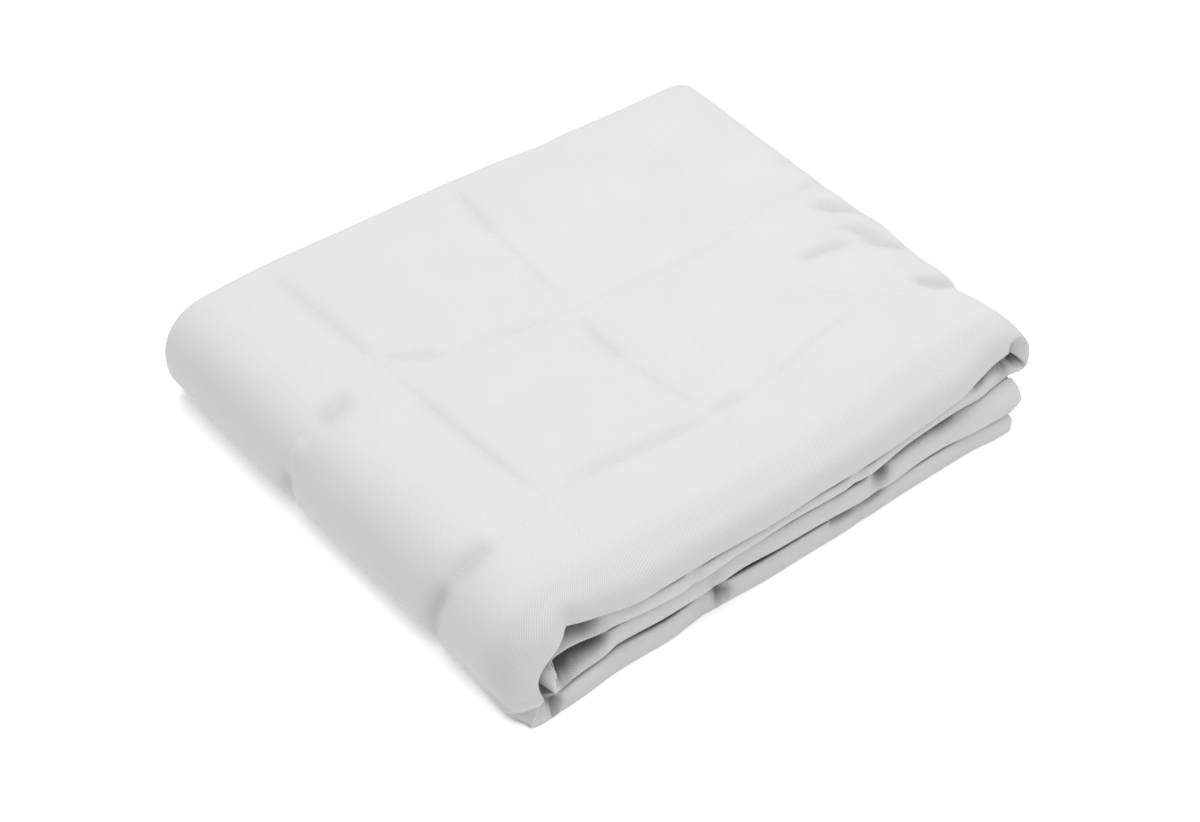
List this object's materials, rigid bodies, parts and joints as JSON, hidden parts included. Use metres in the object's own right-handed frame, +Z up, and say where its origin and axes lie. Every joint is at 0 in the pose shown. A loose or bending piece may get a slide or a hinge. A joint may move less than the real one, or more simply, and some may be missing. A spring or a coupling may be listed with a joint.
{
  "type": "weighted blanket",
  "caption": "Quilted weighted blanket in plain pale twill, folded to a flat rectangular stack with rounded fold edges; lies on a shelf or bed.",
  "frame": {"origin": "centre of the bounding box in plan, on the surface the blanket lies on", "axes": "+X along the long side that shows the folded front edges, towards the end with the free hems; +Y towards the back edge; +Z up"},
  "size_m": [0.479, 0.4088, 0.0775],
  "materials": {
    "twill_cloth": "matt pale grey twill with tone-on-tone stitching"
  },
  "bodies": {
    "root": {"folded_blanket": "twill_cloth"}
  },
  "joints": []
}
